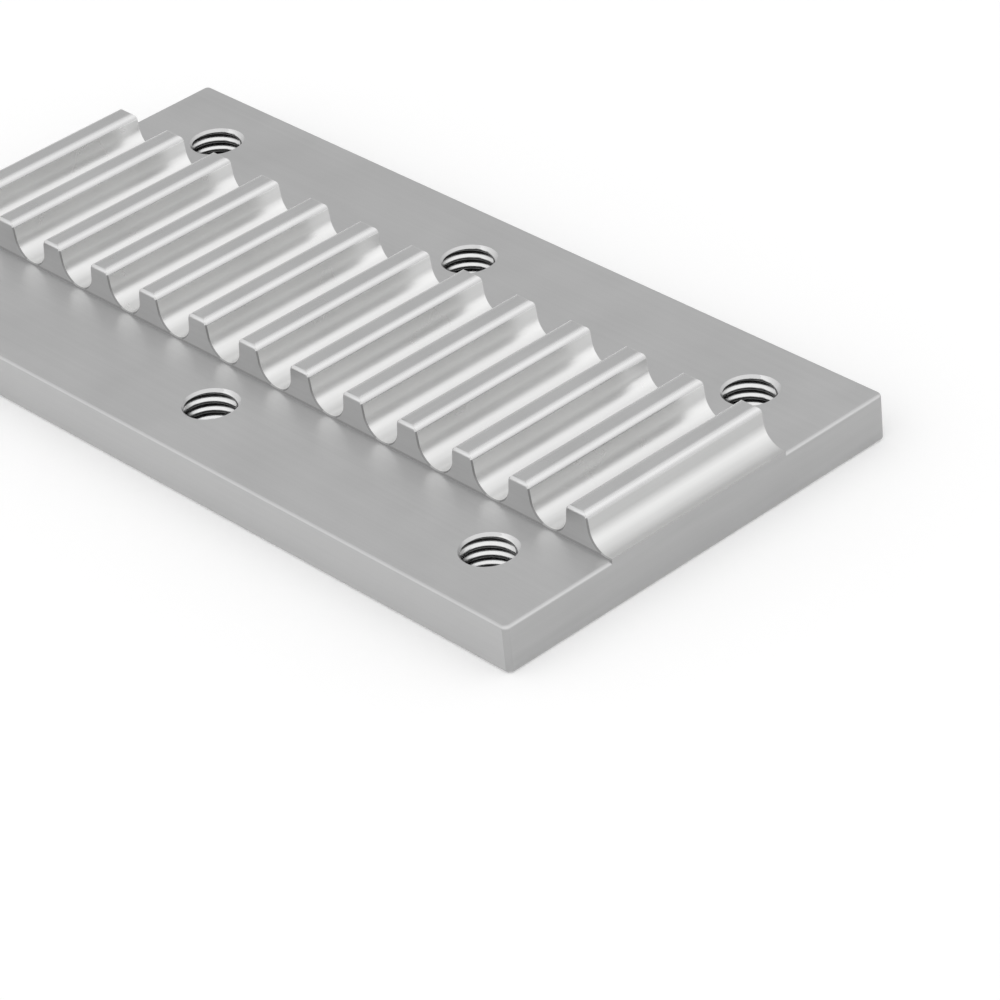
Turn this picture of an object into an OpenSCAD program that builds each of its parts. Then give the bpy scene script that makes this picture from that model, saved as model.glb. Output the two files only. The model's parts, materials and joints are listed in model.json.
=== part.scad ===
// Timing belt clamp plate, machined from one piece of flat aluminium bar.
// A raised band with belt teeth runs along the middle, between two flat flanges with tapped holes.
// The plate lies on its flat underside with its length along X and its teeth up.
// The origin is on the underside, at the middle of the plate. All sizes are in millimetres.

/* [Plate] */
// Length of the plate, along the belt
plate_l = 65; // [45:1:250]
// Width of the plate, across the belt
plate_w = 32.5; // [30:0.5:60]
// Thickness of the two flanges beside the toothed band
flange_t = 3.4; // [2:0.1:8]
// Chamfer along the plate's outer edges
edge_break = 0.15; // [0.1:0.05:0.5]
// Rounding of the plate's four upright corners
corner_r = 0.4; // [0.2:0.05:2]

/* [Toothed band] */
// Width of the toothed band, the same as the belt's width
belt_w = 15; // [9:0.5:18]
// Distance from one belt tooth to the next
belt_pitch = 5; // [4.5:0.25:8]
// Distance from the plate's +X end to the middle of the first tooth
first_tooth = 2.8; // [2:0.1:5]
// Depth of the grooves below the tooth tops
groove_depth = 2.45; // [2:0.05:3]
// Radius of the round bottom of each groove
groove_r = 1.5; // [1.2:0.05:1.6]
// Lean of the groove flanks from the vertical, in degrees
flank_lean = 7; // [2:0.5:12]
// Metal left between the groove bottoms and the level of the flanges
groove_floor = 0.15; // [0.05:0.05:1]
// Rounding of the teeth's long top edges
tooth_edge_r = 0.5; // [0.1:0.05:0.6]
// Rounding of the band's two upper side edges, where the teeth end
band_edge_r = 0.3; // [0.1:0.05:0.6]
// Rounding in the corner between the band and each flange
foot_r = 0.1; // [0.1:0.05:0.4]

/* [Screw holes] */
// Outside diameter of the screw thread
thread_d = 4; // [3.6:0.1:5]
// Diameter of the hole drilled for the thread
tap_drill_d = 3.3; // [2.5:0.1:3.5]
// Distance from each end of the plate to the nearest hole's axis
hole_inset_x = 6.75; // [4:0.25:12]
// Distance from each long edge to the hole axes
hole_inset_y = 5; // [4:0.05:6]
// Number of holes in each row
holes_per_row = 3; // [2:1:5]

/* [Hidden] */
$fn = 96;

// Extra reach of every cutting shape beyond the metal that it cuts
over = 1;

band_top = flange_t + groove_floor + groove_depth;
groove_bottom = flange_t + groove_floor;
groove_centre = groove_bottom + groove_r;

// The round groove bottom meets each flank where the two have the same direction
meet_x = groove_r * cos(flank_lean);
meet_z = groove_centre - groove_r * sin(flank_lean);

// The flank and the tooth top would meet at a sharp corner, which has the rounding tooth_edge_r
corner_x = meet_x + (band_top - meet_z) * tan(flank_lean);
corner_run = tooth_edge_r / tan((90 + flank_lean) / 2);
round_x = corner_x + corner_run;
round_z = band_top - tooth_edge_r;
flank_end_x = corner_x - corner_run * sin(flank_lean);
flank_end_z = band_top - corner_run * cos(flank_lean);

// Groove middles lie half a pitch from the tooth middles. The row goes from the +X end to the -X end,
// and has every groove that reaches into the plate, also where only a part of it does
beside_first_tooth = plate_l / 2 - first_tooth + belt_pitch / 2;
grooves_beyond = floor((plate_l / 2 + round_x - beside_first_tooth) / belt_pitch);
first_groove_x = beside_first_tooth + grooves_beyond * belt_pitch;
last_groove_x = -plate_l / 2 - round_x;

hole_row_l = plate_l - 2 * hole_inset_x;
hole_spacing_x = hole_row_l / (holes_per_row - 1);
hole_row_y = plate_w / 2 - hole_inset_y;
mouth_depth = (thread_d - tap_drill_d) / 2;

// What lies between a rounding about the origin and the square corner beyond it
module corner_piece(r, reach) {
    difference() {
        square(r + reach);
        circle(r = r);
    }
}

// Cross-section of the plate without its band, with chamfers along the long edges
module flange_section() {
    side = plate_w / 2;
    inner = side - edge_break;
    chamfer_z = flange_t - edge_break;
    polygon([
        [-inner, 0],
        [inner, 0],
        [side, edge_break],
        [side, chamfer_z],
        [inner, flange_t],
        [-inner, flange_t],
        [-side, chamfer_z],
        [-side, edge_break]
    ]);
}

// Cross-section of the band, with rounded upper edges and a small round in the corner at each foot
module band_section() {
    difference() {
        translate([-belt_w / 2, flange_t / 2])
            square([belt_w, band_top - flange_t / 2]);
        for (side = [0, 1])
            mirror([side, 0])
                translate([belt_w / 2 - band_edge_r, band_top - band_edge_r])
                    corner_piece(band_edge_r, over);
    }
    for (side = [0, 1])
        mirror([side, 0])
            translate([belt_w / 2 + foot_r, flange_t + foot_r])
                rotate(180)
                    corner_piece(foot_r, foot_r);
}

// Outline of one groove, seen along the tooth: a round bottom, two leaning flanks and rounded lips
module groove_section() {
    half_outline = [
        [meet_x, meet_z],
        [flank_end_x, flank_end_z],
        [round_x, band_top],
        [round_x, band_top + over]
    ];
    mirrored = [for (i = [len(half_outline) - 1:-1:0]) [-half_outline[i][0], half_outline[i][1]]];
    difference() {
        polygon(concat(half_outline, mirrored));
        for (side = [-1, 1])
            translate([side * round_x, round_z])
                circle(r = tooth_edge_r);
    }
    translate([0, groove_centre])
        circle(r = groove_r);
}

// Block that takes the chamfer edge_break off an edge along the Y axis, between faces towards +X and +Z
module edge_cut(length) {
    rotate([0, 45, 0])
        translate([0, 0, over - edge_break / sqrt(2)])
            cube([2 * over, length, 2 * over], center = true);
}

// What comes off at the two ends: the corners' rounding, and chamfers along the bottom edge and along the
// flanges' top edges, where they begin beside the round at the band's foot
module end_cuts() {
    begins_y = belt_w / 2 + foot_r;
    top_cut_l = plate_w / 2 + over - begins_y;
    for (end = [0, 1])
        mirror([end, 0, 0])
            translate([plate_l / 2, 0, 0]) {
                mirror([0, 0, 1])
                    edge_cut(plate_w + 2 * over);
                for (side = [0, 1])
                    mirror([0, side, 0]) {
                        translate([0, begins_y + top_cut_l / 2, flange_t])
                            edge_cut(top_cut_l);
                        translate([-corner_r, plate_w / 2 - corner_r, -over])
                            linear_extrude(height = flange_t + 2 * over)
                                corner_piece(corner_r, over);
                    }
            }
}

// Tapped hole through a flange: the drilled wall that the thread is cut in, and a chamfer at each mouth
module tapped_hole() {
    translate([0, 0, -over])
        cylinder(d = tap_drill_d, h = flange_t + 2 * over);
    for (face = [0, 1])
        translate([0, 0, face * flange_t])
            mirror([0, 0, face])
                translate([0, 0, -over])
                    cylinder(d1 = thread_d + 2 * over, d2 = tap_drill_d, h = mouth_depth + over);
}

// One machined piece: the flanges and the band, with the grooves, chamfers and holes cut into them
module toothed_plate() {
    color([0.7, 0.7, 0.7])
        difference() {
            rotate([90, 0, 90])
                linear_extrude(height = plate_l, center = true) {
                    flange_section();
                    band_section();
                }
            for (x = [first_groove_x:-belt_pitch:last_groove_x])
                translate([x, 0, 0])
                    rotate([90, 0, 0])
                        linear_extrude(height = belt_w + 2 * over, center = true)
                            groove_section();
            end_cuts();
            for (column = [0:holes_per_row - 1], side = [-1, 1])
                translate([column * hole_spacing_x - hole_row_l / 2, side * hole_row_y, 0])
                    tapped_hole();
        }
}

toothed_plate();
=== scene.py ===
"""Timing belt clamp plate: one machined aluminium piece on a pale floor, in soft studio light.

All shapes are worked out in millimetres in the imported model's frame, and a mesh gets them in metres.
X runs along the plate, Y across the belt and along the teeth, and Z up from the underside.
"""

import json
import logging
from dataclasses import dataclass
from enum import Enum

import bpy
import numpy as np
from mathutils import Matrix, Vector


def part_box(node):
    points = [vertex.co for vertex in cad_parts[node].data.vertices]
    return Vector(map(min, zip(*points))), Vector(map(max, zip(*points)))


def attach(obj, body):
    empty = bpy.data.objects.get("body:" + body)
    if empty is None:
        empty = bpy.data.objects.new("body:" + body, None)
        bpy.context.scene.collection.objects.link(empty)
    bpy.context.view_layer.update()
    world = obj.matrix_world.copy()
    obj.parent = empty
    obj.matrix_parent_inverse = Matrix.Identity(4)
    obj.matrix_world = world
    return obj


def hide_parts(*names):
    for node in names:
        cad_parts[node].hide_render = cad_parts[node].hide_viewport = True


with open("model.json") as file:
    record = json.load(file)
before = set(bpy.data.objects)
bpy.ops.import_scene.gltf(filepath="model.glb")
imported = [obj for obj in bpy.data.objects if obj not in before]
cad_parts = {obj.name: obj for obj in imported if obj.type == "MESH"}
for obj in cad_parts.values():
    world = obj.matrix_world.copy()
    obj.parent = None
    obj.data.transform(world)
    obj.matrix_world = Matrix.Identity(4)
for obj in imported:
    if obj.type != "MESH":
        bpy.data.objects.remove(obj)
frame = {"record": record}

LOG = logging.getLogger("clamp_plate")
MM = 0.001
NODE = "toothed_plate"
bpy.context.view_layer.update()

# How far a cutting shape reaches beyond the metal that it cuts, in millimetres
OVER = 1.0

# The number of steps in a blend, in a rounded lip or corner, in a groove's round bottom and round a hole
BLEND_STEPS = 6
LIP_STEPS = 10
BOTTOM_STEPS = 24
HOLE_STEPS = 72

# How many finer layers the tool marks' and the clouds' noise has, and where one noise and the sum of two lie
MARK_DETAIL = 3.0
CLOUD_DETAIL = 4.0
NOISE_RANGE = (0.25, 0.75)
SUM_RANGE = (0.6, 1.4)

Triple = tuple[float, float, float]


class Join(Enum):
    """The two ways in which one solid is worked on with another."""

    ADD = "UNION"
    CUT = "DIFFERENCE"


class Zone(Enum):
    """The kinds of surface on the plate, each with its own finish. Some finishes paint light and shade into
    the colour. A value is a material's number.
    """

    LENGTHWISE = 0
    END_FACE = 1
    TOOTH_SPACE = 2
    OPEN_SPACE = 3
    TOOTH_TOP = 4
    TOOTH_END = 5
    THREAD = 6
    EDGE = 7
    FOOT_LINE = 8
    TOOTH_OUTLINE = 9
    TOOTH_LIP = 10
    HOLE_MOUTH = 11


@dataclass
class Solid:
    """A closed surface as whole arrays.

    Args:
        points: One row of x, y, z per point, in millimetres.
        quads: Four point numbers per side face.
        caps: Point numbers of the end faces, which all have the same number of points.
    """

    points: np.ndarray
    quads: np.ndarray
    caps: np.ndarray

    def joined(self, other: "Solid") -> "Solid":
        """Gives one set of arrays with this solid and another one beside it."""
        size = len(self.points)
        return Solid(
            np.vstack([self.points, other.points]),
            np.vstack([self.quads, other.quads + size]),
            np.vstack([self.caps, other.caps + size]),
        )

    def repeated(self, places: np.ndarray) -> "Solid":
        """Gives one set of arrays with a copy of this solid at each place.

        The point numbers of copy i are raised by i times the number of points.

        Args:
            places: One row of x, y, z shifts per copy.

        Returns:
            All the copies.
        """
        points = (self.points[None, :, :] + places[:, None, :]).reshape(-1, 3)
        raised = (np.arange(len(places)) * len(self.points))[:, None, None]
        quads = (self.quads[None] + raised).reshape(-1, self.quads.shape[1])
        caps = (self.caps[None] + raised).reshape(-1, self.caps.shape[1])
        return Solid(points, quads, caps)

    def to_object(self, name: str) -> bpy.types.Object:
        """Puts the solid into a new object at the origin, in metres.

        Args:
            name: The object's name.

        Returns:
            The new object, linked to the scene.
        """
        mesh = bpy.data.meshes.new(name)
        mesh.from_pydata((self.points * MM).tolist(), [], self.quads.tolist() + self.caps.tolist())
        mesh.update()
        piece = bpy.data.objects.new(name, mesh)
        bpy.context.scene.collection.objects.link(piece)
        return piece


def rings_to_solid(rings: np.ndarray) -> Solid:
    """Closes a stack of rings into a solid.

    Ring r and ring r + 1 are joined by quads, and the first and the last ring are filled. The rings run
    counter-clockwise about the direction in which the stack grows.

    Args:
        rings: An array of rings by points by 3.

    Returns:
        The closed solid.
    """
    number = np.arange(rings.shape[0] * rings.shape[1]).reshape(rings.shape[:2])
    beside = np.roll(number, -1, axis=1)
    quads = np.stack([number[:-1], beside[:-1], beside[1:], number[1:]], axis=-1).reshape(-1, 4)
    caps = np.stack([number[0, ::-1], number[-1]])
    return Solid(rings.reshape(-1, 3), quads, caps)


def turned(profile: list[tuple[float, float]]) -> Solid:
    """Turns a profile of radius and height about Z: (r cos a, r sin a, z) for a all the way round.

    Args:
        profile: Points of radius and height, from the lowest up.

    Returns:
        The closed solid.
    """
    angle = 2 * np.pi * np.arange(HOLE_STEPS) / HOLE_STEPS
    radius, height = np.array(profile).T[:, :, None]
    rings = np.broadcast_arrays(radius * np.cos(angle), radius * np.sin(angle), height)
    return rings_to_solid(np.stack(rings, axis=-1))


def arc(centre: tuple[float, float], radius: float, start: float, end: float, steps: int) -> np.ndarray:
    """Points on a circle: centre + radius * (cos a, sin a), with a going evenly from start to end.

    Args:
        centre: The circle's centre.
        radius: The circle's radius.
        start: The first angle, in degrees.
        end: The last angle, in degrees.
        steps: The number of equal steps.

    Returns:
        An array of steps + 1 points.
    """
    angle = np.radians(np.linspace(start, end, steps + 1))
    return np.array(centre) + radius * np.column_stack([np.cos(angle), np.sin(angle)])


def with_mirror(half: np.ndarray) -> np.ndarray:
    """Gives half an outline, followed by its mirror image across the second axis in reverse order."""
    return np.vstack([half, (half * (-1, 1))[::-1]])


def baked(piece: bpy.types.Object) -> None:
    """Replaces an object's mesh by what its modifiers make of it, and takes the modifiers off."""
    seen = piece.evaluated_get(bpy.context.evaluated_depsgraph_get())
    mesh = bpy.data.meshes.new_from_object(seen)
    piece.modifiers.clear()
    piece.data = mesh


def work(piece: bpy.types.Object, tool: Solid, join: Join, name: str) -> None:
    """Adds a solid to a piece, or cuts the piece with it.

    Args:
        piece: The piece that is changed.
        tool: The solid that is added or that cuts.
        join: Which of the two is done.
        name: What the step is called in the log.
    """
    helper = tool.to_object(name)
    modifier = piece.modifiers.new(name, "BOOLEAN")
    modifier.operation = join.value
    modifier.solver = "MANIFOLD"
    modifier.object = helper
    baked(piece)
    bpy.data.meshes.remove(helper.data)
    LOG.info("%s: %d faces on the plate", name, len(piece.data.polygons))


@dataclass
class FlangePlate:
    """The flat plate with its chamfered edges.

    Args:
        length: Length along X.
        width: Width along Y.
        thickness: Thickness of the flanges.
        chamfer: Size of the chamfer all round, at the top and at the bottom.
        blend: Radius that softens both sides of each chamfer.
        corner: Radius of the four upright corners.
    """

    length: float
    width: float
    thickness: float
    chamfer: float = 0.15
    blend: float = 0.25
    corner: float = 0.4

    def edge_profile(self) -> np.ndarray:
        """The plate's edge in section, as inset and height.

        The chamfer is a line at 45 degrees. Each of its ends is replaced by an eighth of a circle with the
        blend's radius, which touches the chamfer and the face beside it.

        Returns:
            Points of inset and height, from the underside to the top.
        """
        reach = self.chamfer + self.blend * np.tan(np.radians(22.5))
        bottom = np.vstack([
            arc((reach, self.blend), self.blend, 270, 225, BLEND_STEPS),
            arc((self.blend, reach), self.blend, 225, 180, BLEND_STEPS),
        ])
        return np.vstack([bottom, bottom[::-1] * (1, -1) + (0, self.thickness)])

    def outline(self, inset: float) -> np.ndarray:
        """The plate's plan outline, moved inwards.

        Each corner is a quarter circle about a point that lies the corner radius inside both edges. Moving
        the outline inwards takes the inset off that radius and leaves the point where it is.

        Args:
            inset: How far inwards the outline is moved.

        Returns:
            Points of x and y, counter-clockwise.
        """
        x = self.length / 2 - self.corner
        y = self.width / 2 - self.corner
        radius = self.corner - inset
        return np.vstack([
            arc((x, y), radius, 0, 90, LIP_STEPS),
            arc((-x, y), radius, 90, 180, LIP_STEPS),
            arc((-x, -y), radius, 180, 270, LIP_STEPS),
            arc((x, -y), radius, 270, 360, LIP_STEPS),
        ])

    def solid(self) -> Solid:
        """Carries the edge profile round the plan outline and fills the top and the underside."""
        profile = self.edge_profile()
        levels = [np.insert(self.outline(inset), 2, height, axis=1) for inset, height in profile]
        return rings_to_solid(np.stack(levels))


@dataclass
class ToothedBand:
    """The raised band along the middle, and the grooves that leave its teeth standing.

    Args:
        length: Length along X.
        foot_z: Level of the flanges.
        top_z: Level of the tooth tops.
        width: Width along Y, the belt's width.
        pitch: Distance from one tooth to the next.
        first_groove_x: Place of the groove nearest the +X end.
        grooves: The number of grooves.
        floor_gap: Metal between the groove bottoms and the level of the flanges.
        groove_r: Radius of the round groove bottoms.
        lean: Lean of the groove flanks from the vertical, in degrees.
        lip_r: Rounding of the teeth's long top edges.
        end_lip_r: Rounding of the band's upper side edges, where the teeth end.
        foot_depth: Depth of the fine line that is sunk into the band's foot.
        foot_height: Height of that line.
        deburr: How much the grooves widen right at the band's -Y side, where the cutter came out and its
            burr was taken off.
    """

    length: float
    foot_z: float
    top_z: float
    width: float = 15.0
    pitch: float = 5.0
    first_groove_x: float = 32.2
    grooves: int = 14
    floor_gap: float = 0.15
    groove_r: float = 1.5
    lean: float = 7.0
    lip_r: float = 0.5
    end_lip_r: float = 0.3
    foot_depth: float = 0.03
    foot_height: float = 0.22
    deburr: float = 0.09

    def bar(self) -> Solid:
        """The band before its grooves are cut.

        Its section has a quarter circle at each upper edge and a fine line sunk into each foot, where
        the cutter stepped down to the flange. It is carried along X and reaches down into the plate.

        Returns:
            The closed bar.
        """
        half = self.width / 2
        lip_centre = (half - self.end_lip_r, self.top_z - self.end_lip_r)
        section = with_mirror(np.vstack([
            [
                (half - self.foot_depth, self.foot_z / 2),
                (half - self.foot_depth, self.foot_z + self.foot_height / 2),
                (half, self.foot_z + self.foot_height),
            ],
            arc(lip_centre, self.end_lip_r, 0, 90, LIP_STEPS),
        ]))
        ends = [np.insert(section, 0, x, axis=1) for x in (-self.length / 2, self.length / 2)]
        return rings_to_solid(np.stack(ends))

    def groove_outline(self, widening: float) -> np.ndarray:
        """Outline of a groove as x and z, seen along the tooth.

        From the top: a rounded lip, a flank that leans by the lean angle, and a round bottom that meets
        the flanks where both have the same direction. Widening moves every point into the metal: it adds
        to the bottom's radius and comes off the lips' radius, about the same centres. The bottom's arc
        stops just short of the lowest point, where its mirror image carries on.

        Args:
            widening: How far the outline is moved into the metal.

        Returns:
            Points of x and z, counter-clockwise about Y.
        """
        bottom_z = self.foot_z + self.floor_gap + self.groove_r
        lean = np.radians(self.lean)
        meet_x = self.groove_r * np.cos(lean)
        meet_z = bottom_z - self.groove_r * np.sin(lean)
        corner_x = meet_x + (self.top_z - meet_z) * np.tan(lean)
        lip_x = corner_x + self.lip_r / np.tan((np.pi / 2 + lean) / 2)
        lip_centre = (lip_x, self.top_z - self.lip_r)
        short_of_lowest = -87
        half = np.vstack([
            [(lip_x, self.top_z + OVER)],
            arc(lip_centre, self.lip_r - widening, 90, 180 - self.lean, LIP_STEPS),
            arc((0, bottom_z), self.groove_r + widening, -self.lean, short_of_lowest, BOTTOM_STEPS),
        ])
        return with_mirror(half)

    def groove_cutters(self) -> Solid:
        """What the cutter takes out of the band: the groove outline carried along Y, at every groove.

        The outline widens evenly over the last bit before the band's -Y side.

        Returns:
            All the grooves.
        """
        half = self.width / 2
        stations = [
            (-half - OVER, self.deburr),
            (-half, self.deburr),
            (self.deburr - half, 0),
            (half + OVER, 0),
        ]
        rings = [np.insert(self.groove_outline(widening), 1, y, axis=1) for y, widening in stations]
        places = np.zeros((self.grooves, 3))
        places[:, 0] = self.first_groove_x - self.pitch * np.arange(self.grooves)
        return rings_to_solid(np.stack(rings)).repeated(places)


@dataclass
class TappedHoles:
    """Tapped through holes in two rows.

    Args:
        places: One row of x, y, z per hole, on the underside.
        thickness: Thickness of the flanges.
        crest_r: Radius at the thread's crests, as drilled.
        root_r: Radius at the thread's roots.
        mouth_r: Radius of the chamfer at each face of the plate.
        pitch: Rise of the thread in one turn.
        phase: How far the thread is shifted up, which says where it runs out at the top.
        sharpness: Power with which the radius grows from the crests to the roots.
        mouth_overlap: How far the mouths' cones reach inwards past the thread's crests.
    """

    places: np.ndarray
    thickness: float
    crest_r: float = 1.65
    root_r: float = 2.0
    mouth_r: float = 1.84
    pitch: float = 0.7
    phase: float = 0.19
    sharpness: float = 1.6
    mouth_overlap: float = 0.15

    def pitch_profile(self, rows: int = 14) -> np.ndarray:
        """One pitch of the thread in section, as height and radius.

        The radius grows from the crest both ways with a power of the height, as far as the roots half a
        pitch away. So the crests are round and the roots are sharp.

        Args:
            rows: The number of points in one pitch.

        Returns:
            Points over one pitch, from one root to just before the next.
        """
        swing = np.arange(rows) / rows - 0.5
        radius = self.crest_r + (self.root_r - self.crest_r) * np.abs(2 * swing) ** self.sharpness
        return np.column_stack([self.pitch * swing, radius])

    def thread_cutters(self, turns: int = 7) -> Solid:
        """The space inside the threads of all the holes.

        The pitch profile is stacked turn on turn and carried about Z while it rises: a point is at
        (r cos a, r sin a, z + pitch * a / full turn). After a full turn, the row that is one pitch up in
        the first column is the same row, so the last column is joined to it there. Fans to two points on
        the axis close the ends.

        Args:
            turns: The number of turns.

        Returns:
            All the threads.
        """
        profile = self.pitch_profile()
        per_turn = len(profile)
        lowest = self.thickness / 2 - self.pitch * turns / 2 + self.phase
        radius = np.tile(profile[:, 1], turns)
        height = (profile[:, 0] + self.pitch * np.arange(turns)[:, None] + lowest).ravel()
        part = (np.arange(HOLE_STEPS) / HOLE_STEPS)[:, None]
        angle = 2 * np.pi * part
        risen = height + self.pitch * part
        grid = np.stack([radius * np.cos(angle), radius * np.sin(angle), risen], axis=-1)
        number = np.arange(grid.shape[0] * grid.shape[1]).reshape(grid.shape[:2])
        met = number[0, per_turn:]
        joins = len(met)
        sides = np.stack([number[:-1, :-1], number[1:, :-1], number[1:, 1:], number[:-1, 1:]], axis=-1)
        seam = np.stack([number[-1, :joins - 1], met[:-1], met[1:], number[-1, 1:joins]], axis=-1)
        low_rim = np.concatenate([number[:, 0], number[0, per_turn:0:-1]])
        high_rim = np.concatenate([number[:, -1], number[-1, -2:-per_turn - 2:-1]])
        tips = np.array([[0, 0, lowest - self.pitch], [0, 0, lowest + self.pitch * (turns + 1)]])
        low_tip = np.full(len(low_rim), number.size)
        caps = np.vstack([
            np.column_stack([np.roll(low_rim, -1), low_rim, low_tip]),
            np.column_stack([high_rim, np.roll(high_rim, -1), low_tip + 1]),
        ])
        points = np.vstack([grid.reshape(-1, 3), tips])
        return Solid(points, np.vstack([sides.reshape(-1, 4), seam]), caps).repeated(self.places)

    def mouth_cutters(self) -> Solid:
        """The chamfers at the mouths, a cone at 45 degrees above and below each hole."""
        inner_r = self.crest_r - self.mouth_overlap
        deep = self.mouth_r - inner_r
        outer_r = self.mouth_r + OVER
        upper = turned([(inner_r, self.thickness - deep), (outer_r, self.thickness + OVER)])
        lower = turned([(outer_r, -OVER), (inner_r, deep)])
        return upper.joined(lower).repeated(self.places)


def feed(tree: bpy.types.NodeTree, socket: bpy.types.NodeSocket, source: object) -> None:
    """Links a socket to another node's output, or gives it a fixed value.

    Args:
        tree: The tree that holds the nodes.
        socket: The input socket.
        source: An output socket, or a value.
    """
    if isinstance(source, bpy.types.NodeSocket):
        tree.links.new(source, socket)
    else:
        socket.default_value = source


def add_node(
    tree: bpy.types.NodeTree, kind: str, inputs: dict[str | int, object], **settings: object
) -> bpy.types.Node:
    """Adds a shader node, with its settings made before its sockets are fed.

    Args:
        tree: The tree that gets the node.
        kind: The node's kind, as its type is called after ShaderNode.
        inputs: What feeds each socket, by the socket's name or number.
        settings: The node's own settings, by name.

    Returns:
        The new node.
    """
    made = tree.nodes.new("ShaderNode" + kind)
    for name, value in settings.items():
        setattr(made, name, value)
    for name, source in inputs.items():
        feed(tree, made.inputs[name], source)
    return made


@dataclass(frozen=True)
class MachinedFinish:
    """Bare aluminium with the marks of the tool that cut it, and with painted shade on faces that stand
    upright.

    Args:
        name: The material's name.
        colour: The metal's colour.
        roughness: The mean roughness.
        marks: How many tool marks there are per millimetre along X, Y and Z.
        mark_height: Height of the tool marks, in millimetres.
        tone: How much lighter and darker the marks and clouds make the metal.
        cloud: How much rougher and smoother the surface is from place to place.
        clouds_per_mm: How many clouds there are per millimetre.
        upright: What the colour is multiplied by where the surface stands upright. This is painted shade,
        which makes upright faces darker than level ones.
        tilts: Upward parts of the surface's direction at which the painted shade is full and at which it
            ends.
        shade_below: Whether surfaces that face down get as much painted shade as upright ones.
    """

    name: str
    colour: Triple
    roughness: float
    marks: Triple
    mark_height: float = 0.002
    tone: float = 0.03
    cloud: float = 0.04
    clouds_per_mm: float = 0.22
    upright: float = 0.72
    tilts: tuple[float, float] = (0.10, 0.55)
    shade_below: bool = False

    def material(self) -> bpy.types.Material:
        """Makes the material.

        Noise that is stretched along the tool's path gives the marks, as a bump and as a faint tone. Wide
        soft noise gives clouds in the roughness and the tone. Upright faces get painted shade: a darker
        colour than level ones.

        Returns:
            The new material.
        """
        made = bpy.data.materials.new(self.name)
        made.use_nodes = True
        tree = made.node_tree
        shader = tree.nodes["Principled BSDF"]
        coordinates = add_node(tree, "TexCoord", {})
        place = coordinates.outputs["Object"]
        marks = self.tool_marks(tree, place)
        clouds = self.clouds(tree, place)
        bump = add_node(tree, "Bump", {"Distance": self.mark_height * MM, "Height": marks})
        colour = self.toned(tree, marks, clouds)
        # Painted shade: the colour is darkened where the surface stands upright, and for some finishes also
        # where it faces down.
        upright_shading = self.upright_shading(tree, coordinates.outputs["Normal"])
        shaded_colour = add_node(tree, "VectorMath", {"Vector": colour, "Scale": upright_shading}, operation="SCALE")
        feed(tree, shader.inputs["Metallic"], 1.0)
        feed(tree, shader.inputs["Normal"], bump.outputs["Normal"])
        feed(tree, shader.inputs["Roughness"], self.clouded_roughness(tree, clouds))
        feed(tree, shader.inputs["Base Color"], shaded_colour.outputs["Vector"])
        return made

    def tool_marks(self, tree: bpy.types.NodeTree, place: bpy.types.NodeSocket) -> bpy.types.NodeSocket:
        """Adds noise that is stretched along the tool's path.

        Args:
            tree: The material's nodes.
            place: The place on the object.

        Returns:
            The noise, about 0.5.
        """
        per_metre = [per_mm / MM for per_mm in self.marks]
        stretched = add_node(tree, "Mapping", {"Vector": place, "Scale": per_metre}).outputs["Vector"]
        noise = add_node(tree, "TexNoise", {"Vector": stretched, "Scale": 1.0, "Detail": MARK_DETAIL})
        return noise.outputs["Fac"]

    def clouds(self, tree: bpy.types.NodeTree, place: bpy.types.NodeSocket) -> bpy.types.NodeSocket:
        """Adds wide soft noise.

        Args:
            tree: The material's nodes.
            place: The place on the object.

        Returns:
            The noise, about 0.5.
        """
        per_metre = self.clouds_per_mm / MM
        noise = add_node(tree, "TexNoise", {"Vector": place, "Scale": per_metre, "Detail": CLOUD_DETAIL})
        return noise.outputs["Fac"]

    def clouded_roughness(
        self, tree: bpy.types.NodeTree, clouds: bpy.types.NodeSocket
    ) -> bpy.types.NodeSocket:
        """Spreads the roughness about its mean, by a straight line from the range of the clouds.

        Args:
            tree: The material's nodes.
            clouds: The wide soft noise.

        Returns:
            The roughness.
        """
        ends = {
            "Value": clouds,
            "From Min": NOISE_RANGE[0],
            "From Max": NOISE_RANGE[1],
            "To Min": self.roughness - self.cloud,
            "To Max": self.roughness + self.cloud,
        }
        return add_node(tree, "MapRange", ends).outputs["Result"]

    def toned(
        self, tree: bpy.types.NodeTree, marks: bpy.types.NodeSocket, clouds: bpy.types.NodeSocket
    ) -> bpy.types.NodeSocket:
        """Makes the colour a little darker and lighter, by the sum of the marks and the clouds.

        Args:
            tree: The material's nodes.
            marks: The tool marks' noise.
            clouds: The wide soft noise.

        Returns:
            The colour.
        """
        both = add_node(tree, "Math", {0: marks, 1: clouds}, operation="ADD").outputs["Value"]
        ends = {"Value": both, "From Min": SUM_RANGE[0], "From Max": SUM_RANGE[1]}
        share = add_node(tree, "MapRange", ends).outputs["Result"]
        darker = [part * (1 - self.tone) for part in self.colour] + [1.0]
        lighter = [part * (1 + self.tone) for part in self.colour] + [1.0]
        mix = add_node(tree, "Mix", {"Factor": share, "A": darker, "B": lighter}, data_type="RGBA")
        return mix.outputs["Result"]

    def upright_shading(self, tree: bpy.types.NodeTree, direction: bpy.types.NodeSocket) -> bpy.types.NodeSocket:
        """Finds the painted shade, by a straight line from how far the surface faces up or down.

        Args:
            tree: The material's nodes.
            direction: The direction in which the surface faces, on the object.

        Returns:
            What the colour is multiplied by to paint the shade.
        """
        parts = add_node(tree, "SeparateXYZ", {"Vector": direction})
        operation = "ADD" if self.shade_below else "ABSOLUTE"
        level = add_node(tree, "Math", {0: parts.outputs["Z"], 1: 0.0}, operation=operation)
        ends = {
            "Value": level.outputs["Value"],
            "From Min": self.tilts[0],
            "From Max": self.tilts[1],
            "To Min": self.upright,
        }
        return add_node(tree, "MapRange", ends).outputs["Result"]


# Each finish's upright factor paints shade on the faces that stand upright. Colours that also paint light or
# shade are marked at each finish.
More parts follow.
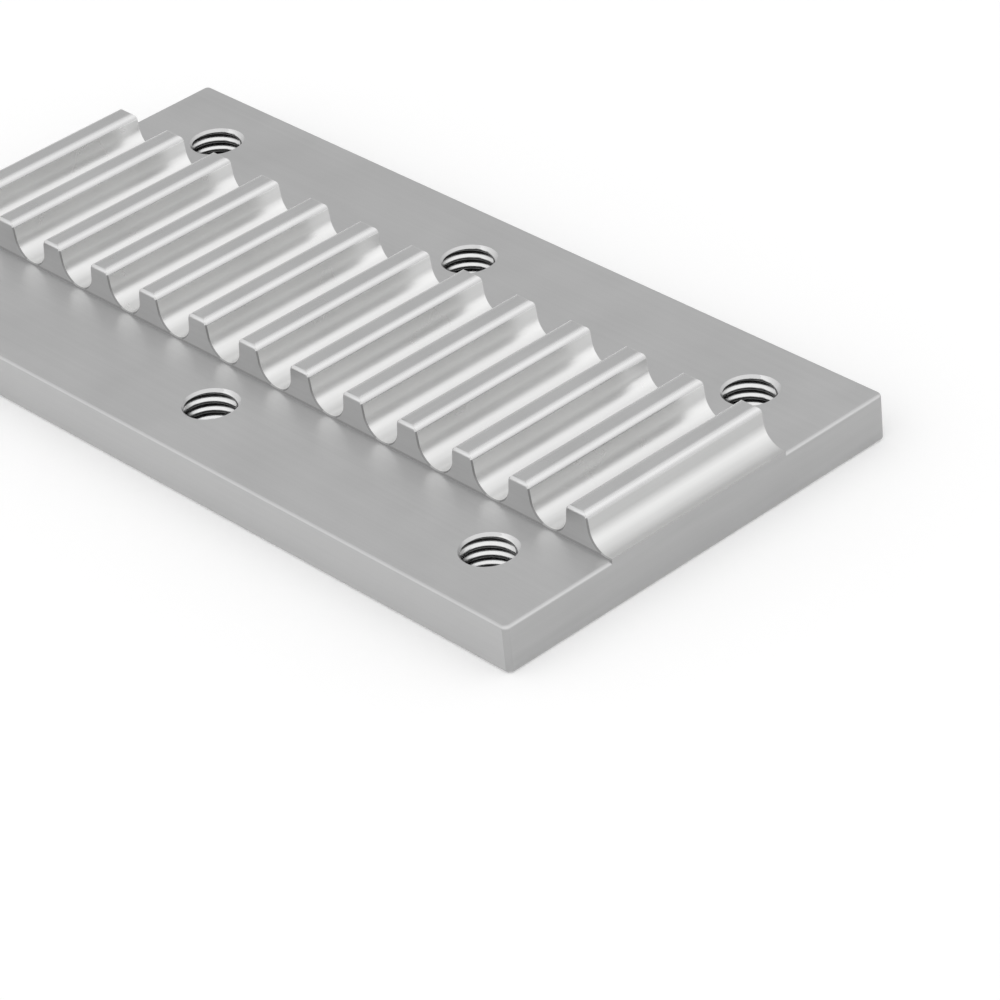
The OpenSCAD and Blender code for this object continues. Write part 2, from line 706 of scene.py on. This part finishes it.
FINISHES: dict[Zone, MachinedFinish] = {
    Zone.LENGTHWISE: MachinedFinish("milled_lengthwise", (0.70, 0.70, 0.70), 0.36, (0.05, 4.0, 4.0)),
    # Painted shade: the end faces have a darker colour than the rest of the metal.
    Zone.END_FACE: MachinedFinish(
        "milled_end_painted_shade", (0.61, 0.61, 0.61), 0.36, (3.0, 0.1, 2.0), tone=0.05, cloud=0.06
    ),
    # Painted light: the groove faces are lighter than the rest of the metal, standing in for the light that
    # their round bottoms catch. The open groove at each end is a darker copy with darker flanks.
    Zone.TOOTH_SPACE: MachinedFinish(
        "cut_tooth_space_painted_light",
        (0.84, 0.84, 0.835),
        0.30,
        (2.5, 0.04, 2.5),
        mark_height=0.004,
        tone=0.05,
        upright=0.92,
    ),
    Zone.OPEN_SPACE: MachinedFinish(
        "cut_open_space_painted_light",
        (0.76, 0.76, 0.755),
        0.30,
        (2.5, 0.04, 2.5),
        mark_height=0.004,
        tone=0.05,
        upright=0.69,
    ),
    Zone.TOOTH_TOP: MachinedFinish(
        "cut_tooth_top", (0.735, 0.735, 0.735), 0.30, (3.0, 0.04, 3.0), mark_height=0.003, tone=0.04
    ),
    Zone.TOOTH_END: MachinedFinish("milled_tooth_end", (0.70, 0.70, 0.70), 0.34, (0.3, 4.0, 4.0), tone=0.05),
    # Painted shade: the thread's faces that stand upright or face down are made almost black, standing in
    # for the shade deep in the hole.
    Zone.THREAD: MachinedFinish(
        "tapped_thread_painted_shade",
        (0.76, 0.76, 0.76),
        0.20,
        (3.0, 3.0, 3.0),
        upright=0.04,
        tilts=(0.22, 0.50),
        shade_below=True,
    ),
    # Painted shade: the eased edges have a darker colour than the rest of the metal, which dims their
    # reflection.
    Zone.EDGE: MachinedFinish("eased_edge_painted_shade", (0.61, 0.61, 0.61), 0.30, (1.0, 1.0, 1.0), upright=0.68),
    # Painted shade: a dark colour along the band's foot, standing in for the shade in the corner between the
    # band and the flange.
    Zone.FOOT_LINE: MachinedFinish("foot_painted_shade", (0.38, 0.38, 0.38), 0.35, (2.0, 2.0, 2.0), upright=1.0),
    # Painted shade: a dark colour on the widened groove edges at the band's -Y side, standing in for the
    # shade along the teeth's outlines.
    Zone.TOOTH_OUTLINE: MachinedFinish(
        "tooth_outline_painted_shade", (0.26, 0.26, 0.26), 0.35, (2.0, 2.0, 2.0), upright=1.0
    ),
    # Painted highlight: the rounded tooth lips are much lighter than the tooth tops, and darker again where
    # they turn to face sideways, which draws the bright line along each tooth.
    Zone.TOOTH_LIP: MachinedFinish(
        "eased_tooth_lip_painted_highlight",
        (0.86, 0.86, 0.86),
        0.25,
        (3.0, 0.04, 3.0),
        tone=0.04,
        upright=0.69,
        tilts=(0.45, 0.80),
    ),
    Zone.HOLE_MOUTH: MachinedFinish("cut_hole_mouth", (0.62, 0.62, 0.62), 0.30, (3.0, 3.0, 3.0)),
}


@dataclass
class ClampPlate:
    """The whole plate, made of its flanges, its toothed band and its tapped holes.

    Args:
        flanges: The flat plate.
        band: The raised band and its grooves.
        holes: The tapped holes.
        sharp_from: Angle from which an edge is shaded sharp, in degrees.
        flat_weight: How much the large faces lead the shading of the small ones beside them.
        faces_along: Least cosine at which a face counts as facing along an axis.
        slack: Room for the places of faces, in millimetres.
        lip_share: How much of the rounding's height has the lip's finish with its painted highlight, before
            the flank's begins.
    """

    flanges: FlangePlate
    band: ToothedBand
    holes: TappedHoles
    sharp_from: float = 28
    flat_weight: int = 80
    faces_along: float = 0.995
    slack: float = 0.02
    lip_share: float = 0.8

    def build(self) -> bpy.types.Object:
        """Machines the plate and dresses it.

        Returns:
            The finished piece.
        """
        piece = self.flanges.solid().to_object("machined_plate")
        work(piece, self.band.bar(), Join.ADD, "toothed_band")
        work(piece, self.band.groove_cutters(), Join.CUT, "tooth_grooves")
        work(piece, self.holes.mouth_cutters(), Join.CUT, "hole_mouths")
        work(piece, self.holes.thread_cutters(), Join.CUT, "hole_threads")
        self.soften(piece)
        self.dress(piece)
        return piece

    def soften(self, piece: bpy.types.Object) -> None:
        """Shades curved surfaces smooth, keeps true edges sharp and flat faces flat.

        Args:
            piece: The plate.
        """
        mesh = piece.data
        mesh.polygons.foreach_set("use_smooth", np.ones(len(mesh.polygons), bool))
        mesh.set_sharp_from_angle(angle=np.radians(self.sharp_from))
        weights = piece.modifiers.new("flat_faces_lead", "WEIGHTED_NORMAL")
        weights.keep_sharp = True
        weights.weight = self.flat_weight
        baked(piece)

    def zones(self, mesh: bpy.types.Mesh) -> np.ndarray:
        """Tells for each face which kind of surface it is, by its place and the way it faces.

        The way a face looks is compared by the size of its direction's parts, so a face and the one
        opposite it count as the same. The first test that a face passes gives its zone.

        Args:
            mesh: The plate's mesh.

        Returns:
            One zone number per face.
        """
        centre = np.empty(len(mesh.polygons) * 3)
        normal = np.empty(len(mesh.polygons) * 3)
        mesh.polygons.foreach_get("center", centre)
        mesh.polygons.foreach_get("normal", normal)
        x, y, z = centre.reshape(-1, 3).T / MM
        facing = np.abs(normal.reshape(-1, 3))
        along_x, along_y, along_z = (facing > self.faces_along).T
        at_45_degrees = np.isclose(facing[:, 2], np.sqrt(0.5), rtol=0, atol=0.008)
        leans_in_x = facing[:, 0] > 0.01
        slack = self.slack
        band = self.band
        in_band = (np.abs(y) < band.width / 2 + slack) & (z > band.foot_z + slack)
        in_wall = in_band & (np.abs(y) > band.width / 2 - band.deburr)
        # The faces of the fine line at the band's foot get painted shade.
        foot = in_wall & (z < band.foot_z + band.foot_height)
        # The widened groove edges on the -Y side get painted shade, which draws the teeth's dark outlines.
        outline = in_wall & (y < 0) & (z < band.top_z - band.end_lip_r) & ~along_y
        top = in_band & (z > band.top_z - band.lip_r * self.lip_share)
        end_face = along_x & (np.abs(x) > self.flanges.length / 2 - slack)
        open_space = in_band & (np.abs(x) > self.flanges.length / 2 - band.pitch / 2)
        places = self.holes.places
        from_hole = np.hypot(x[:, None] - places[:, 0], y[:, None] - places[:, 1]).min(axis=1)
        in_hole = (from_hole < self.holes.root_r + slack) & ~along_z
        tests = [
            (in_hole & at_45_degrees, Zone.HOLE_MOUTH),
            (in_hole, Zone.THREAD),
            (end_face, Zone.END_FACE),
            (foot, Zone.FOOT_LINE),
            (outline, Zone.TOOTH_OUTLINE),
            (in_band & along_y, Zone.TOOTH_END),
            # The rounded lips get the painted highlight.
            (top & leans_in_x, Zone.TOOTH_LIP),
            (top, Zone.TOOTH_TOP),
            (open_space, Zone.OPEN_SPACE),
            (in_band, Zone.TOOTH_SPACE),
            (along_y | along_z, Zone.LENGTHWISE),
        ]
        return np.select([test for test, _ in tests], [zone.value for _, zone in tests], Zone.EDGE.value)

    def dress(self, piece: bpy.types.Object) -> None:
        """Gives each face the finish of its zone.

        Args:
            piece: The plate.
        """
        mesh = piece.data
        mesh.materials.clear()
        for zone in Zone:
            mesh.materials.append(FINISHES[zone].material())
        mesh.polygons.foreach_set("material_index", self.zones(mesh).astype(np.int32))
        mesh.update()


@dataclass
class Studio:
    """The pale floor and the soft light.

    Args:
        floor_size: Side of the square floor, in metres.
        floor_z: Level of the floor, in millimetres.
        floor_white: How white the floor's paper is.
        floor_roughness: How matt it is.
        floor_shine: How strongly it shines at its surface.
        floor_glow: Light that the floor gives of its own to the camera and to the metal.
        dark_side: Direction of the middle of the tent's darker side.
        levels: Pairs of the cosine of the angle to that direction and the light there.
    """

    floor_size: float = 6.0
    floor_z: float = -0.02
    floor_white: float = 0.95
    floor_roughness: float = 0.9
    floor_shine: float = 0.2
    floor_glow: float = 0.12
    dark_side: Triple = (-0.746, 0.597, 0.296)
    levels: tuple[tuple[float, float], ...] = (
        (-1.0, 1.11),
        (-0.12, 1.11),
        (0.09, 1.05),
        (0.30, 0.95),
        (0.43, 0.89),
        (0.75, 0.76),
        (0.92, 0.58),
        (1.0, 0.52),
    )

    def floor(self) -> bpy.types.Object:
        """Makes the floor, a wide pale sheet that shows white to the camera and keeps the plate's shadow.

        Returns:
            The floor.
        """
        half = self.floor_size / 2 / MM
        corners = np.array([(-half, -half), (half, -half), (half, half), (-half, half)])
        points = np.insert(corners, 2, self.floor_z, axis=1)
        sheet = Solid(points, np.array([[0, 1, 2, 3]]), np.empty((0, 4), int)).to_object("floor")
        sheet.data.materials.append(self.paper())
        return sheet

    def paper(self) -> bpy.types.Material:
        """The floor's matt white, with a little light of its own where the camera or the metal sees it.

        Returns:
            The new material.
        """
        made = bpy.data.materials.new("studio_paper")
        made.use_nodes = True
        tree = made.node_tree
        path = add_node(tree, "LightPath", {}).outputs
        direct = add_node(
            tree, "Math", {0: path["Is Camera Ray"], 1: path["Is Glossy Ray"]}, operation="MAXIMUM"
        )
        seen = add_node(
            tree, "Math", {0: direct.outputs["Value"], 1: path["Is Transmission Ray"]}, operation="MAXIMUM"
        )
        glow = add_node(tree, "Math", {0: seen.outputs["Value"], 1: self.floor_glow}, operation="MULTIPLY")
        shader = tree.nodes["Principled BSDF"]
        feed(tree, shader.inputs["Base Color"], (self.floor_white, self.floor_white, self.floor_white, 1))
        feed(tree, shader.inputs["Roughness"], self.floor_roughness)
        feed(tree, shader.inputs["Specular IOR Level"], self.floor_shine)
        feed(tree, shader.inputs["Emission Color"], (1, 1, 1, 1))
        feed(tree, shader.inputs["Emission Strength"], glow.outputs["Value"])
        return made

    def tent(self) -> None:
        """Lights the scene with a white tent all round, which has one softly darker side.

        The level follows from the cosine of the angle between a direction and the middle of the dark side,
        by a ramp whose stops are pairs of a cosine and a level.
        """
        world = bpy.data.worlds.new("studio_tent")
        bpy.context.scene.world = world
        world.use_nodes = True
        tree = world.node_tree
        direction = add_node(tree, "TexCoord", {}).outputs["Generated"]
        cosine = add_node(tree, "VectorMath", {0: direction, 1: self.dark_side}, operation="DOT_PRODUCT")
        place = add_node(tree, "MapRange", {"Value": cosine.outputs["Value"], "From Min": -1.0})
        ramp = add_node(tree, "ValToRGB", {"Fac": place.outputs["Result"]})
        stops = ramp.color_ramp.elements
        while len(stops) < len(self.levels):
            stops.new(0.5)
        for stop, (cosine_there, level) in zip(stops, self.levels):
            stop.position = (cosine_there + 1) / 2
            stop.color = (level, level, level, 1)
        background = tree.nodes["Background"]
        feed(tree, background.inputs["Color"], ramp.outputs["Color"])
        feed(tree, background.inputs["Strength"], 1.0)


@dataclass(frozen=True)
class Viewpoint:
    """Where the photograph was taken from, and through what lens.

    Args:
        azimuth: Where the line of sight heads, in degrees from +Y towards +X.
        elevation: How steeply it goes down, in degrees.
        roll: How far the camera is turned about it, in degrees.
        target: The point that the camera looks at, in millimetres.
        distance: Distance from the camera to that point, in millimetres.
        focal_length: Focal length, in sensor widths.
        sensor_width: Width of the sensor, in millimetres.
        clip: The nearest and the farthest thing that shows, in metres.
    """

    azimuth: float = -49.928
    elevation: float = 33.532
    roll: float = -6.154
    target: Triple = (22.461, -7.135, 3.4)
    distance: float = 277.338
    focal_length: float = 4.5716
    sensor_width: float = 36.0
    clip: tuple[float, float] = (0.01, 50)

    def axes(self) -> tuple[np.ndarray, np.ndarray, np.ndarray]:
        """Works out the camera's own directions.

        The line of sight follows from the azimuth and the elevation. The level direction to its right and
        the one above it are then turned about it by the roll.

        Returns:
            The directions to the right, up and along the line of sight.
        """
        azimuth, elevation, roll = np.radians([self.azimuth, self.elevation, self.roll])
        along = np.array([
            np.cos(elevation) * np.sin(azimuth),
            np.cos(elevation) * np.cos(azimuth),
            -np.sin(elevation),
        ])
        right = np.cross(along, (0, 0, 1))
        right /= np.linalg.norm(right)
        up = np.cross(right, along)
        turned_right = np.cos(roll) * right + np.sin(roll) * up
        turned_up = np.cos(roll) * up - np.sin(roll) * right
        return turned_right, turned_up, along

    def stand(self) -> None:
        """Stands the scene's camera at the viewpoint."""
        right, up, along = self.axes()
        place = (np.array(self.target) - along * self.distance) * MM
        eye = bpy.data.cameras.new("camera")
        eye.sensor_width = self.sensor_width
        eye.lens = self.focal_length * self.sensor_width
        eye.clip_start, eye.clip_end = self.clip
        camera = bpy.data.objects.new("camera", eye)
        columns = np.column_stack([right, up, -along, place])
        camera.matrix_world = Matrix(np.vstack([columns, (0, 0, 0, 1)]).tolist())
        bpy.context.scene.collection.objects.link(camera)
        bpy.context.scene.camera = camera


def plate_from_frame() -> ClampPlate:
    """Takes the plate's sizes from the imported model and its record.

    Returns:
        The plate, not yet built.
    """
    low, high = (np.array(corner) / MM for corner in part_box(NODE))
    length, width, height = high - low
    mounts = {mount["name"]: mount for mount in frame["record"]["mounts"]}
    corners = mounts["corner_screws"]
    thickness = corners["pos_m"][2] / MM
    spacing_x = corners["dims"]["spacing_x_mm"]
    spacing_y = corners["dims"]["spacing_y_mm"]
    places = np.array([
        (column * spacing_x / 2, side * spacing_y / 2, 0) for column in (-1, 0, 1) for side in (-1, 1)
    ])
    return ClampPlate(
        FlangePlate(length, width, thickness),
        ToothedBand(length, thickness, height),
        TappedHoles(places, thickness),
    )


def main() -> None:
    """Builds the plate, the studio and the camera."""
    logging.basicConfig(level=logging.INFO, format="%(name)s: %(message)s")
    piece = plate_from_frame().build()
    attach(piece, "root")
    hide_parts(NODE)
    LOG.info("%s stands for %s", piece.name, NODE)
    studio = Studio()
    studio.floor()
    studio.tent()
    Viewpoint().stand()
    bpy.context.scene.view_settings.view_transform = "Standard"
    LOG.info("studio and camera are ready")


if __name__ == "__main__":
    main()
